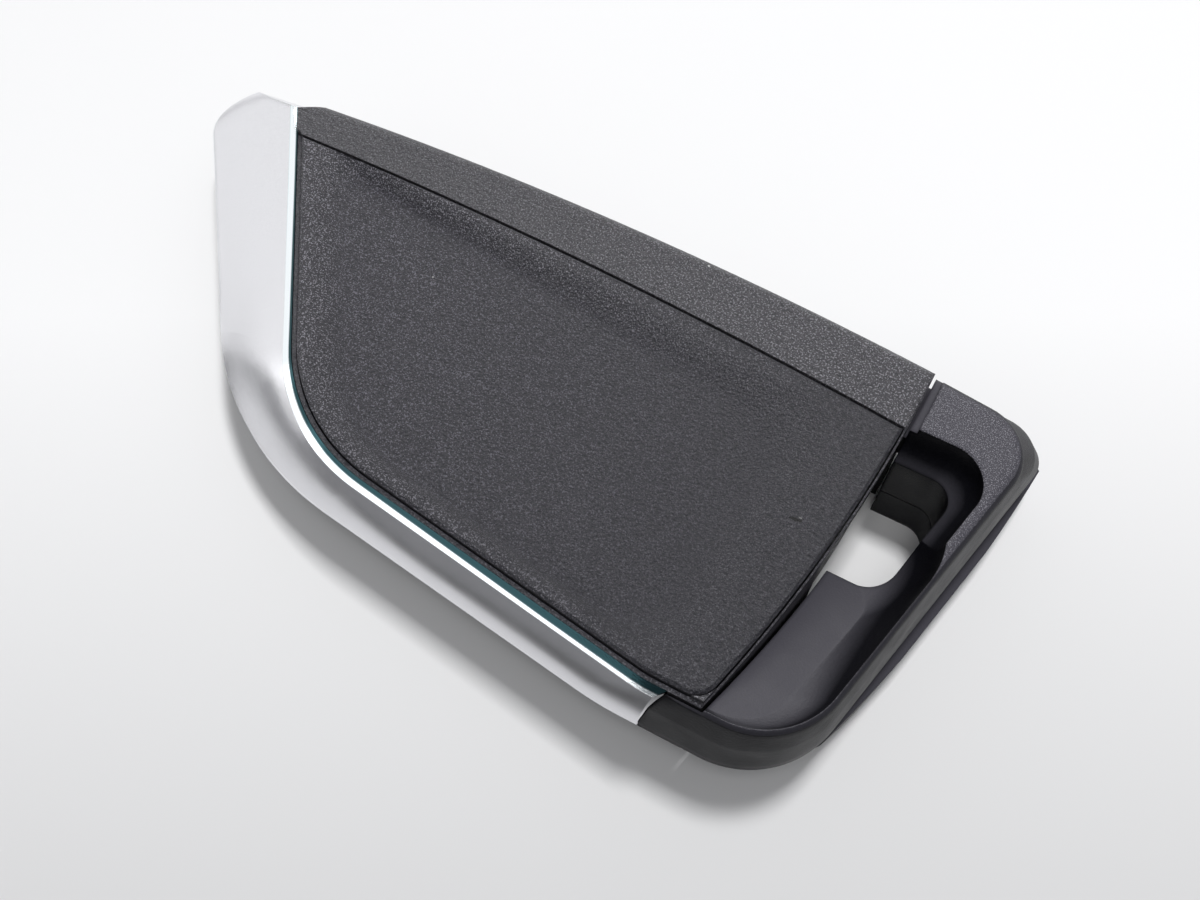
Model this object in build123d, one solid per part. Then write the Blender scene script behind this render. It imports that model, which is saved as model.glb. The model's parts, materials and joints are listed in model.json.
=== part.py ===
from build123d import *
import math
import os

os.makedirs("parts", exist_ok=True)

# Smart car key with an emergency key in its ring loop. Sizes are in millimetres.
# The fob lies on its front face with the battery cover up. While it is being built, x runs from
# the tip of the trim to the loop end, y is 0 at the straight edge and falls towards the lower
# edge, and z is 0 at the front face. PLACE then puts the origin under the middle of the fob.
LENGTH = 85.0
WIDTH = 38.0
HEIGHT = 15.0
PLACE = Location((-LENGTH / 2, WIDTH / 2, 0))

# Ridge, the widest outline of the fob
RIDGE_BAND = 1.2
SLANT_ANGLE = 53.2
TAPER_ANGLE = 7.4
LOOP_ANGLE = 77.0
FLAT_LENGTH = 24.7
TIP_RADIUS = 3.8
HEEL_RADIUS = 26.0
FLAT_RADIUS = 30.0
LOOP_HEEL_RADIUS = 8.8
LOOP_TIP_RADIUS = 2.5

# Crest, the upper outline where the side of the fob ends
CREST_DROP = 0.5
CREST_CHAMFER_WIDTH = 0.8
CREST_CHAMFER_HEIGHT = 0.5
CREST_START = 8.5
CREST_ANGLE = 57.8
CREST_TAPER_ANGLE = 8.05
CREST_STRAIGHT_INSET = 1.2
CREST_EDGE_INSET = 1.55
CREST_LOOP_INSET = 1.8
CREST_HEEL_RADIUS = 17.0
CREST_LOOP_RADIUS = 7.2
CREST_TIP_RADIUS = 1.6
CREST_FLAT_RADIUS = 12.0
SIDE_BULGE_RISE = 3.6
SIDE_BULGE_SHARE = 0.45
EDGE_LEAN = 0.77
EDGE_BOW_RADIUS = 313.0
EDGE_BOW_FROM_MIDDLE = 2.5

# Underside, from the ridge down to the front face
FRONT_EDGE_Z = 1.0
FRONT_EDGE_INSET = 1.9
FRONT_FACE_INSET = 3.2

# End of the trim, where the toe of the ring loop begins
TRIM_END_FROM_LOOP = 19.7
TRIM_END_UP = 1.4
TRIM_END_ANGLE = 45.0
TRIM_END_GAP = 0.1

# End of the case, one long arc across the fob
LOOP_LENGTH = 12.0
END_RADIUS = 130.0
END_ARC_Y = -1.1
END_LIP = 0.15
END_SETBACK = 0.45
END_SETBACK_Y = -21.5
LOOP_GAP = 0.25

# Walls and clearances
CASE_WALL = 1.5
SEAT_GAP = 0.05
COVER_GAP = 0.12
SLIDE_GAP = 0.15
CORE_GAP = 0.4

# Battery cover with its scooped recess
COVER_THICKNESS = 2.4
COVER_RIM = 0.4
COVER_RIM_DROP = 0.12
COVER_EDGE_CUT = 0.25
COVER_CORNER_RADIUS = 1.9
SEAM_X = 28.0
SEAM_Y = -5.9
SEAM_RADIUS = 470.0
SCOOP_DEPTH = 1.2
SCOOP_RIM_INSET = 1.1
SCOOP_RIM_FAR = (44.6, -7.6, 175.9)
SCOOP_RIM_FROM_END = 4.4
SCOOP_RIM_END_Y = -15.0
SCOOP_RIM_END_ANGLE = 84.0
SCOOP_RIM_RADII = [5.0, 1.2, 15.0, 5.0]
SCOOP_FLOOR_FAR = (42.0, -10.2, 173.0)
SCOOP_FLOOR_SLANT = (22.4, -13.9, -57.0)
SCOOP_FLOOR_LOW_X = 42.9
SCOOP_FLOOR_LOW_UP = 7.4
SCOOP_FLOOR_LOW_ANGLE = -8.6
SCOOP_FLOOR_FROM_END = 10.7
SCOOP_FLOOR_END_Y = -20.0
SCOOP_FLOOR_END_ANGLE = 86.0
SCOOP_FLOOR_RADII = [4.0, 2.0, 13.0, 4.0]
SCOOP_PROFILE = ((-0.08, -0.06), (0.2, 0.14), (0.5, 0.5), (0.8, 0.88), (1.0, 1.0))
STRIP_EDGE_RADIUS = 1.2
STRIP_CORNER_INSET = 3.3
STRIP_CORNER_DROP = 1.0
STRIP_CORNER_FACE = (-0.47, 0.8, 0.37)
TRIM_CORNER_INSET = 3.5
TRIM_CORNER_FACE = (-0.1, 0.78, 0.62)
SEAL_INSET = 0.9
SEAL_WIDTH = 0.9
SEAL_DEPTH = 0.65
LEDGE_WIDTH = 2.5

# Front case, its board ledge and the inner levels
FRONT_WALL = 2.3
FRONT_FLOOR = 1.3
BOARD_LEDGE = 1.0
BOARD_GAP = 0.2
BOARD_Z = 4.3
BOARD_THICKNESS = 1.0
TRAY_THICKNESS = 1.0

# Coin cell and its contacts
CELL_RADIUS = 10.0
CELL_THICKNESS = 3.2
CELL_FROM_MIDDLE = 0.5
CELL_GAP = 0.25
CELL_HEADROOM = 0.4
CELL_WALL = 1.1
CONTACT_THICKNESS = 0.15
CONTACT_WIDTH = 3.0
CONTACT_LEG_GAP = 0.3

# Emergency key
BLADE_ABOVE = 4.0
BLADE_WIDTH = 6.3
BLADE_THICKNESS = 2.0
BLADE_TIP_X = 24.0
BLADE_NECK_LENGTH = 3.2
BLADE_ROOT_FROM_LOOP = 4.5
BLADE_ROOT_WIDTH = 4.6
BLADE_TRACK_WIDTH = 2.0
BLADE_TRACK_DEPTH = 0.55
BLADE_TRACK_FROM_END = 13.0
BLADE_POINT = 2.0
BLADE_SIDE_Y = -1.9
BLADE_NOTCH_DEPTH = 0.7
PIN_RADIUS = 0.75
PIN_GAP = 0.02
PIN_FROM_LOOP = 7.8
BOSS_DEPTH = 0.8
BOSS_WALL_SIDE = 0.25
BOSS_WALL = 0.5

# Ring loop
CAP_HEIGHT = 4.3
SEAM_GROOVE = 0.3
SEAM_DEPTH = 0.7
LIP_WIDTH = 0.5
HOLE_FAR_Y = -9.0
HOLE_NEAR_Y = -19.5
HOLE_SIDE_INSET = 4.25
HOLE_FAR_RADIUS = 2.0
HOLE_NEAR_RADIUS = 2.8
HIDDEN_RADIUS = 0.5
HOLE_RADII = [HOLE_FAR_RADIUS, HIDDEN_RADIUS, HIDDEN_RADIUS, HOLE_NEAR_RADIUS]
LOOP_HOLLOW = ((0.0, 0.0), (0.3, 0.6), (1.0, 1.0))
FUNNEL_Z = 10.6
FUNNEL_NEAR_Y = -21.0
FUNNEL_MOUTH_RADIUS = 3.4
FUNNEL_RIM_WIDTH = 1.3
PAD_EDGE_Y = -7.4
PAD_STEP_WIDTH = 0.65
PAD_STEP_DROP = 0.7
HEAD_CREST_STRAIGHT_INSET = 1.9
HEAD_CREST_TURN = 5.5
HEAD_CREST_FOOT_INSET = 1.1
HEAD_CREST_LOOP_INSET = 0.65
HEAD_CORNER_RADIUS = 4.6
HEAD_HEEL_RADIUS = 7.6
HEAD_EDGE_RADIUS = 0.9
HEAD_EDGE_STEPS = 3
RIM_WIDTH = 0.45
RAMP_Z = 8.0
RAMP_ANGLE = 20.0
RAMP_START_Y = -10.0
RAMP_START_DROP = 9.0
RAMP_WALL_NEAR = 0.35
RAMP_FAR_RADIUS = 3.0
RAMP_CORNER_RADIUS = 5.0
RAMP_MOUTH_RADIUS = 7.5
LOOP_INNER_FROM_END = 13.0
CAP_HEEL_RADIUS = 12.0
CAP_FACE_INSET = 1.6
CAP_EDGE_INSET = 0.1
CAP_FLARE = 0.5
CAP_TIP_RADIUS = 1.6
CAP_STRAIGHT_TURN = 3.5
CAP_ARC_RADIUS = 142.0
CAP_ARC_Y = 15.8
CAP_ARC_REACH = 0.97

# Buttons in the front panel
PANEL_INSET = 5.6
PANEL_SLANT_INSET = 6.6
PANEL_THICKNESS = 1.3
PANEL_RADIUS = 3.0
BUTTON_NAMES = ("unlock", "lock", "boot")
BUTTON_PITCH = 12.5
BUTTON_LAST_FROM_END = 14.5
BUTTON_FAR_Y = -11.5
BUTTON_NEAR_UP = 12.5
BUTTON_LENGTH = 10.4
BUTTON_CORNER = 2.4
BUTTON_RECESS = 0.25
BUTTON_EDGE = 0.3
BUTTON_TRAVEL = 0.5
DISH_RADIUS = 60.0
DISH_DEPTH = 0.3
FLANGE_WIDTH = 0.7
FLANGE_THICKNESS = 0.7
FLANGE_GAP = 0.1
STEM_RADIUS = 1.2
SWITCH_LENGTH = 4.0
SWITCH_WIDTH = 3.2
SWITCH_HEIGHT = 1.0
PLUNGER_RADIUS = 0.9
PLUNGER_LENGTH = 0.8
PLUNGER_GAP = 0.05
PLUNGER_ROOM = 0.1

# Release latch in the straight edge, with its folded leaf spring
LATCH_FROM_END = 9.5
LATCH_LENGTH = 6.0
LATCH_FLANGE = 1.0
LATCH_BELOW_BLADE = 0.7
LATCH_HEIGHT = 1.25
LATCH_FLOOR = 0.55
LATCH_GAP = 0.1
LATCH_TRAVEL = 0.8
LATCH_DEPTH = 3.0
TOOTH_LENGTH = 1.6
TOOTH_WIDTH = 1.2
TOOTH_GAP = 0.12
SPRING_LENGTH = 2.6
SPRING_WIDTH = 3.6
SPRING_FOLDS = 4
SPRING_THICKNESS = 0.2
SPRING_HEIGHT = 0.9

# Electronics on the board, with their plan sizes and heights
CHIP_EDGE = 0.15
CORE_FLANGE = 0.2
PROCESSOR_SIZE = (7.0, 7.0, 0.9)
PROCESSOR_Y = -18.0
PROCESSOR_FROM_CELL = 2.0
RADIO_SIZE = (4.0, 4.0, 0.85)
RADIO_Y = -13.0
CRYSTAL_SIZE = (3.2, 2.5, 0.8)
CRYSTAL_Y = -19.0
ELECTRONICS_FROM_END = 12.5
TRANSPONDER_SIZE = (7.8, 2.8)
TRANSPONDER_SPOT = (24.0, -10.5)
ANTENNA_SIZE = (8.5, 7.5)
ANTENNA_UP = 9.5
CAPACITOR_SIZE = (1.6, 0.8, 0.8)
CAPACITOR_PITCH = 2.3
CAPACITORS_IN_ROW = 3
CAPACITOR_FROM_CELL = 7.5
CAPACITOR_NEAR_Y = -25.5
CAPACITOR_FAR_Y = -12.0
CAPACITOR_FROM_END = 18.5

FAR = 200.0


def crossing(side_a, side_b):
    """Corner where two straight sides meet; a side is (x, y, heading in degrees)."""
    ax, ay, a = side_a
    bx, by, b = side_b
    a = math.radians(a)
    b = math.radians(b)
    along = ((bx - ax) * math.sin(b) - (by - ay) * math.cos(b)) / math.sin(b - a)
    return ax + along * math.cos(a), ay + along * math.sin(a)


def inward(side, depth):
    """The side moved by depth to the left of its heading, which is into the outline."""
    x, y, heading = side
    turn = math.radians(heading)
    return x - depth * math.sin(turn), y + depth * math.cos(turn), heading


def corners_of(sides):
    """Corners of a closed run of sides, the first where the last side meets the first."""
    return [crossing(sides[i - 1], sides[i]) for i in range(len(sides))]


def face_of(corners, radii, z=0.0):
    """Flat face at height z with rounded corners."""
    return Pos(0, 0, z) * make_face(FilletPolyline(*corners, radius=radii, close=True))


def between(corners_a, corners_b, share):
    """Corners part of the way from one outline to another with as many corners."""
    return [
        (ax + (bx - ax) * share, ay + (by - ay) * share)
        for (ax, ay), (bx, by) in zip(corners_a, corners_b)
    ]


def mixed(radii_a, radii_b, share):
    """Corner radii part of the way from one outline to another."""
    return [a + (b - a) * share for a, b in zip(radii_a, radii_b)]


def block(x0, x1, y0, y1, z0, z1):
    """Box between two corners."""
    return Pos((x0 + x1) / 2, (y0 + y1) / 2, (z0 + z1) / 2) * Box(x1 - x0, y1 - y0, z1 - z0)


def slab(plan, z0, z1):
    """Straight solid on a plan drawn at z 0."""
    return extrude(Pos(0, 0, z0) * plan, z1 - z0)


def layer(solid, z0, z1):
    """What lies of a solid between two heights."""
    return solid & block(-FAR, FAR, -FAR, FAR, z0, z1)


def upright(x, y, radius, z0, z1):
    """Vertical cylinder."""
    return Pos(x, y, (z0 + z1) / 2) * Cylinder(radius, z1 - z0)


def rounded(x, y, length, width, corner):
    """Plan of a rectangle with rounded corners around a centre."""
    return Pos(x, y) * RectangleRounded(length, width, corner)


# Heights that follow from the front face up and from the cover down
crest_z = HEIGHT - CREST_DROP
pocket_z = HEIGHT - COVER_THICKNESS - SEAT_GAP
tray_top = pocket_z - CELL_HEADROOM - CELL_THICKNESS - CONTACT_THICKNESS
tray_z = tray_top - TRAY_THICKNESS
board_top = BOARD_Z + BOARD_THICKNESS
core_height = tray_z - board_top - CORE_GAP
front_floor_top = PANEL_THICKNESS + FRONT_FLOOR
blade_z = HEIGHT - BLADE_ABOVE - BLADE_THICKNESS
latch_z = blade_z - LATCH_BELOW_BLADE - LATCH_HEIGHT
ridge_low = latch_z - LATCH_GAP - LATCH_FLOOR
ridge_top = ridge_low + RIDGE_BAND
flange_z = PANEL_THICKNESS + FLANGE_GAP
stem_top = BOARD_Z - SWITCH_HEIGHT - BUTTON_TRAVEL - PLUNGER_ROOM

# Places along the fob, counted back from the loop end, and across it
end_x = LENGTH - LOOP_LENGTH
flat_start = LENGTH - FLAT_LENGTH
trim_end_x = LENGTH - TRIM_END_FROM_LOOP
pin_x = LENGTH - PIN_FROM_LOOP
blade_root_x = LENGTH - BLADE_ROOT_FROM_LOOP
blade_shoulder_x = end_x - BLADE_NECK_LENGTH
latch_x = end_x - LATCH_FROM_END
loop_inner_x = end_x - LOOP_INNER_FROM_END
cell_x = LENGTH / 2 - CELL_FROM_MIDDLE
channel_near_y = BLADE_SIDE_Y - BLADE_WIDTH - SLIDE_GAP
cell_y = channel_near_y - CELL_WALL - CELL_GAP - CELL_RADIUS
latch_back_y = -LATCH_DEPTH - CASE_WALL
spring_end_y = latch_back_y - SPRING_LENGTH
button_near_y = BUTTON_NEAR_UP - WIDTH
button_width = BUTTON_FAR_Y - button_near_y
button_y = (BUTTON_FAR_Y + button_near_y) / 2
last_button_x = end_x - BUTTON_LAST_FROM_END
button_xs = [last_button_x - BUTTON_PITCH * i for i in (2, 1, 0)]

# Sides of the ridge outline, in order: straight edge, slanted end, lower edge, foot, loop end
tip_corner_x = TIP_RADIUS * (1 - 1 / math.tan(math.radians(SLANT_ANGLE / 2)))
loop_corner_x = LENGTH + LOOP_TIP_RADIUS * (math.tan(math.radians(90 - LOOP_ANGLE / 2)) - 1)
straight_edge = (0.0, 0.0, 180.0)
slanted_end = (tip_corner_x, 0.0, -SLANT_ANGLE)
lower_edge = (flat_start, -WIDTH, -TAPER_ANGLE)
foot = (0.0, -WIDTH, 0.0)
loop_end = (loop_corner_x, 0.0, LOOP_ANGLE)
ridge_sides = [straight_edge, slanted_end, lower_edge, foot, loop_end]
ridge_radii = [LOOP_TIP_RADIUS, TIP_RADIUS, HEEL_RADIUS, FLAT_RADIUS, LOOP_HEEL_RADIUS]
cap_radii = [CAP_TIP_RADIUS, TIP_RADIUS, HEEL_RADIUS, FLAT_RADIUS, CAP_HEEL_RADIUS]

# Sides of the crest outline, in the same order
crest_edge_x = flat_start + CREST_EDGE_INSET * 2
crest_straight = inward(straight_edge, CREST_STRAIGHT_INSET)
crest_slanted = (CREST_START, 0.0, -CREST_ANGLE)
crest_lower = (crest_edge_x, -WIDTH + CREST_EDGE_INSET, -CREST_TAPER_ANGLE)
crest_foot = inward(foot, CREST_EDGE_INSET)
crest_loop = inward(loop_end, LIP_WIDTH + CREST_LOOP_INSET)
crest_sides = [crest_straight, crest_slanted, crest_lower, crest_foot, crest_loop]
crest_radii = [
    CREST_TIP_RADIUS, CREST_TIP_RADIUS, CREST_HEEL_RADIUS, CREST_FLAT_RADIUS, CREST_LOOP_RADIUS,
]

# Crest of the loop, which runs nearer to the ridge and has no bevel
head_crest_straight = (end_x, -HEAD_CREST_STRAIGHT_INSET, 180 - HEAD_CREST_TURN)
head_crest_foot = inward(foot, HEAD_CREST_FOOT_INSET)
head_crest_loop = inward(loop_end, LIP_WIDTH + HEAD_CREST_LOOP_INSET)
head_crest_sides = [head_crest_straight, *crest_sides[1:3], head_crest_foot, head_crest_loop]
head_crest_radii = [HEAD_CORNER_RADIUS] + crest_radii[1:4] + [HEAD_HEEL_RADIUS]
hole_sides = [
    (0.0, HOLE_FAR_Y, 180.0),
    (loop_inner_x, 0.0, -90.0),
    (0.0, HOLE_NEAR_Y, 0.0),
    inward(loop_end, HOLE_SIDE_INSET),
]


def crest_outline(grow, z):
    """Crest outline at height z, made wider all round by grow."""
    moved = [inward(side, -grow) for side in crest_sides]
    return face_of(corners_of(moved), crest_radii, z)


def end_disc(extra):
    """Tall round block that holds all of the case side of the end arc, moved out by extra."""
    return Pos(end_x - END_RADIUS, END_ARC_Y, 0) * Cylinder(END_RADIUS + extra, FAR)


def inside_crest(gap):
    """Plan of what the trim wraps: bounded by the crest on two sides, open past the others."""
    sides = [
        (0.0, WIDTH, 180.0),
        inward(crest_slanted, gap),
        inward(crest_lower, gap),
        inward(crest_foot, gap),
        (LENGTH + WIDTH, 0.0, 90.0),
    ]
    return face_of(corners_of(sides), [0, 0, CREST_HEEL_RADIUS, CREST_FLAT_RADIUS, 0])


def case_plan(gap, straight_gap, end_gap):
    """Plan of the case inside the trim, each wall moved inwards by its own gap."""
    half = Pos(0, -straight_gap - FAR / 2) * Rectangle(2 * FAR, FAR)
    end_circle = Pos(end_x - END_RADIUS, END_ARC_Y) * Circle(END_RADIUS - end_gap)
    return inside_crest(gap) & half & end_circle


def cover_plan(gap):
    """Plan of the battery cover: the case's rim on two sides, the seam arc and the end arc."""
    seam_disc = Pos(SEAM_X, SEAM_Y - SEAM_RADIUS - gap) * Circle(SEAM_RADIUS)
    plan = (case_plan(gap + COVER_RIM, 0, gap) & seam_disc).face()
    low_end = plan.vertices().sort_by(Axis.Y)[0:3].sort_by(Axis.X)[-1]
    return Sketch() + fillet(low_end, COVER_CORNER_RADIUS)


def straight_wall_relief():
    """What lies outside the straight wall above the ridge, which leans in and bows outwards."""
    x0 = -HEIGHT
    x1 = LENGTH + HEIGHT
    middle_x = LENGTH / 2 + EDGE_BOW_FROM_MIDDLE
    bow_x0 = (x0 - middle_x) ** 2 / EDGE_BOW_RADIUS / 2
    bow_x1 = (x1 - middle_x) ** 2 / EDGE_BOW_RADIUS / 2
    low = make_face(Polyline((x0, 0), (x1, 0), (x1, HEIGHT), (x0, HEIGHT), close=True))
    left = (x0, -EDGE_LEAN - bow_x0)
    right = (x1, -EDGE_LEAN - bow_x1)
    bowed = ThreePointArc(left, (middle_x, -EDGE_LEAN), right)
    high = make_face(bowed + Polyline(right, (x1, HEIGHT), (x0, HEIGHT), left))
    return loft([Pos(0, 0, ridge_top) * low, Pos(0, 0, HEIGHT) * high], ruled=True)


def ridge_band(sides):
    """Vertical band round the widest outline."""
    return slab(face_of(corners_of(sides), ridge_radii), ridge_low, ridge_top)


def make_upper_blank():
    """Upper half of the trim's part of the fob: bulged sides and a bevel along the crest."""
    outer_crest = [inward(side, -CREST_CHAMFER_WIDTH) for side in crest_sides]
    bulge = between(corners_of(ridge_sides), corners_of(outer_crest), SIDE_BULGE_SHARE)
    bulge_radii = mixed(ridge_radii, crest_radii, SIDE_BULGE_SHARE)
    bevel_z = crest_z - CREST_CHAMFER_HEIGHT
    skirt = loft([
        face_of(corners_of(ridge_sides), ridge_radii, ridge_top),
        face_of(bulge, bulge_radii, ridge_top + SIDE_BULGE_RISE),
        crest_outline(CREST_CHAMFER_WIDTH, bevel_z),
    ])
    bevel = loft([
        crest_outline(CREST_CHAMFER_WIDTH, bevel_z),
        crest_outline(0, crest_z),
    ], ruled=True)
    return ridge_band(ridge_sides) + skirt + bevel - straight_wall_relief()


def make_head_blank():
    """Upper half of the loop before it is hollowed, with a rounded crest."""
    sides = ridge_sides[:-1] + [inward(loop_end, LIP_WIDTH)]
    bulge = between(corners_of(sides), corners_of(head_crest_sides), SIDE_BULGE_SHARE)
    bulge_radii = mixed(ridge_radii, head_crest_radii, SIDE_BULGE_SHARE)
    sections = [
        face_of(corners_of(sides), ridge_radii, ridge_top),
        face_of(bulge, bulge_radii, ridge_top + SIDE_BULGE_RISE),
    ]
    for step in range(HEAD_EDGE_STEPS + 1):
        turn = math.radians(90 * step / HEAD_EDGE_STEPS)
        depth = HEAD_EDGE_RADIUS * (1 - math.cos(turn))
        z = crest_z - HEAD_EDGE_RADIUS * (1 - math.sin(turn))
        moved = [inward(side, depth) for side in head_crest_sides]
        sections.append(face_of(corners_of(moved), [radius - depth for radius in head_crest_radii], z))
    skirt = loft(sections, ruled=True) & block(loop_inner_x, FAR, -FAR, FAR, 0, FAR)
    return skirt + ridge_band(sides)


def ridge_outline(side_inset, loop_inset, radii, straight_turn=0, z=0):
    """Ridge outline at height z, drawn in by one inset at the loop end and another elsewhere."""
    straight = (end_x, -side_inset, 180 + straight_turn)
    others = [inward(side, side_inset) for side in ridge_sides[1:4]]
    return face_of(corners_of([straight, *others, inward(loop_end, loop_inset)]), radii, z)


def make_lower_blank(loop_insets, radii, straight_turn=0):
    """Lower half of the fob, drawn in from the ridge to the front face."""
    levels = (0, FRONT_EDGE_Z, ridge_low)
    side_insets = (FRONT_FACE_INSET, FRONT_EDGE_INSET, 0)
    return loft([
        ridge_outline(side_inset, loop_inset, radii, straight_turn, z)
        for z, side_inset, loop_inset in zip(levels, side_insets, loop_insets)
    ], ruled=True)


def trim_side(gap):
    """All that lies on the trim's side of the slanting cut at its end, moved out by gap."""
    beyond = block(-FAR, FAR, -gap, FAR, -FAR, FAR)
    turned = Location((trim_end_x, TRIM_END_UP - WIDTH, 0), (0, 0, TRIM_END_ANGLE)) * beyond
    return turned & block(-FAR, trim_end_x + CREST_EDGE_INSET, -FAR, FAR, -FAR, FAR)


def blade_channel():
    """Space for the blade along the straight edge, open through the end wall."""
    return block(
        BLADE_TIP_X - SLIDE_GAP * 2, LENGTH, channel_near_y, BLADE_SIDE_Y + SLIDE_GAP,
        blade_z - SLIDE_GAP, blade_z + BLADE_THICKNESS + SLIDE_GAP,
    )


def latch_pocket():
    """Window, slideway and tooth slot of the release latch."""
    low = latch_z - LATCH_GAP
    high = latch_z + LATCH_HEIGHT + LATCH_GAP
    half = LATCH_LENGTH / 2 + LATCH_GAP
    window = block(latch_x - half, latch_x + half, -CASE_WALL, FAR, low, high)
    wide = half + LATCH_FLANGE
    room = block(latch_x - wide, latch_x + wide, spring_end_y, -CASE_WALL, low, high)
    slot_half = TOOTH_LENGTH / 2 + LATCH_GAP
    tooth_low_y = latch_back_y - LATCH_TRAVEL - LATCH_GAP
    slot = block(latch_x - slot_half, latch_x + slot_half, tooth_low_y, BLADE_SIDE_Y, low, blade_z)
    return window + room + slot


def contact_slots():
    """Slots in the tray floor for the legs of the two cell contacts."""
    half = CONTACT_WIDTH / 2 + CONTACT_LEG_GAP
    plus_x = cell_x + CELL_RADIUS
    minus_x = cell_x - CELL_RADIUS / 2
    reach = CONTACT_THICKNESS + CONTACT_LEG_GAP
    plus = block(plus_x, plus_x + reach + SEAT_GAP, cell_y - half, cell_y + half, ridge_low, pocket_z)
    minus = block(minus_x - reach, minus_x + reach, cell_y - half, cell_y + half, ridge_low, tray_top)
    return plus + minus


def end_recess(top):
    """Recess in the end wall of the case beside the ring hole, up to height top."""
    beyond = end_disc(WIDTH) - end_disc(-END_SETBACK)
    return beyond & block(0, LENGTH, END_SETBACK_Y, PAD_EDGE_Y, -HEIGHT, top)


def make_rear_case():
    """Rear case: textured strip, end wall, battery tray, cover pocket and blade channel."""
    case = slab(case_plan(SEAT_GAP, 0, -END_LIP), ridge_low, HEIGHT) - straight_wall_relief()
    strip_edge = case.faces().sort_by(Axis.Z)[-1].edges().sort_by(Axis.Y)[-1]
    case = fillet(strip_edge, STRIP_EDGE_RADIUS)
    case -= layer(end_disc(2 * END_LIP) - end_disc(0), crest_z - END_LIP, HEIGHT)
    case -= end_recess(pocket_z)
    low_rim = case_plan(-COVER_RIM, -SEAM_Y, -END_LIP * 2)
    low_rim -= case_plan(COVER_RIM + SEAT_GAP, -WIDTH, -WIDTH)
    case -= slab(low_rim, crest_z - COVER_RIM_DROP, HEIGHT * 2)
    corner = crossing(crest_slanted, inward(straight_edge, STRIP_CORNER_INSET))
    corner_cut = Plane(origin=(*corner, crest_z - STRIP_CORNER_DROP), z_dir=STRIP_CORNER_FACE)
    case -= corner_cut * slab(Rectangle(LEDGE_WIDTH * 2, LEDGE_WIDTH * 2), 0, LEDGE_WIDTH)

    # Pocket for the cover, the ledge that it rests on and the groove for its seal
    pocket = cover_plan(0)
    groove = offset(pocket, -SEAL_INSET) - offset(pocket, -SEAL_INSET - SEAL_WIDTH)
    case -= slab(pocket, pocket_z, HEIGHT * 2)
    case -= slab(groove, pocket_z - SEAL_DEPTH, HEIGHT)

    # Tray above its floor with a ring wall round the cell, and room for the electronics below
    tray = slab(offset(pocket, -LEDGE_WIDTH), tray_top, HEIGHT)
    tray -= block(0, LENGTH, channel_near_y - CELL_WALL, 0, 0, HEIGHT)
    ring = upright(cell_x, cell_y, CELL_RADIUS + CELL_GAP + CELL_WALL, 0, tray_top + CELL_THICKNESS)
    bay = upright(cell_x, cell_y, CELL_RADIUS + CELL_GAP, tray_top, HEIGHT)
    case -= tray - ring
    case -= bay
    latch_base = block(
        latch_x - LATCH_LENGTH, latch_x + LATCH_LENGTH, spring_end_y - CASE_WALL, 0, 0, HEIGHT
    )
    case -= slab(case_plan(CASE_WALL, CASE_WALL, CASE_WALL), 0, tray_z) - latch_base
    case -= slab(case_plan(CASE_WALL, CASE_WALL, CASE_WALL), 0, board_top + BOARD_GAP)
    return case - blade_channel() - blade_boss(SLIDE_GAP) - latch_pocket() - contact_slots()


def make_scoop():
    """Scooped recess of the cover, a soft slope from a wide rim to a narrower floor."""
    rim = [
        SCOOP_RIM_FAR,
        inward(crest_slanted, COVER_RIM + SCOOP_RIM_INSET),
        inward(crest_lower, COVER_RIM + SCOOP_RIM_INSET),
        (end_x - SCOOP_RIM_FROM_END, SCOOP_RIM_END_Y, SCOOP_RIM_END_ANGLE),
    ]
    floor = [
        SCOOP_FLOOR_FAR,
        SCOOP_FLOOR_SLANT,
        (SCOOP_FLOOR_LOW_X, SCOOP_FLOOR_LOW_UP - WIDTH, SCOOP_FLOOR_LOW_ANGLE),
        (end_x - SCOOP_FLOOR_FROM_END, SCOOP_FLOOR_END_Y, SCOOP_FLOOR_END_ANGLE),
    ]
    sections = []
    for share, sunk in SCOOP_PROFILE:
        outline = between(corners_of(rim), corners_of(floor), share)
        radii = mixed(SCOOP_RIM_RADII, SCOOP_FLOOR_RADII, share)
        sections.append(face_of(outline, radii, HEIGHT - SCOOP_DEPTH * sunk))
    return loft(sections)


def make_battery_cover():
    """Battery cover with its rounded edge and its recess."""
    cover = slab(cover_plan(COVER_GAP), HEIGHT - COVER_THICKNESS, HEIGHT)
    cover = chamfer(cover.faces().sort_by(Axis.Z)[-1].edges(), COVER_EDGE_CUT)
    return cover - make_scoop()


def make_cover_seal():
    """Rubber ring in the groove round the tray."""
    pocket = cover_plan(0)
    inner = SEAL_INSET + SEAL_WIDTH - SEAT_GAP
    ring = offset(pocket, -SEAL_INSET - SEAT_GAP) - offset(pocket, -inner)
    return slab(ring, pocket_z - SEAL_DEPTH, HEIGHT - COVER_THICKNESS)


def make_side_trim():
    """Silver trim that wraps the slanted end and the lower edge, with a polished crest."""
    wrapped = slab(inside_crest(0), -HEIGHT, 2 * HEIGHT)
    corner = crossing(crest_slanted, inward(straight_edge, TRIM_CORNER_INSET))
    corner_cut = Plane(origin=(*corner, crest_z), z_dir=TRIM_CORNER_FACE)
    corner_cut *= slab(Rectangle(HEIGHT * 2, HEIGHT * 2), 0, HEIGHT)
    return (make_upper_blank() & trim_side(0)) - wrapped - corner_cut


def ring_hole(z):
    """Plan of the key ring hole at height z; the end wall of the case closes its fourth side."""
    return face_of(corners_of(hole_sides), HOLE_RADII, z)


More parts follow.
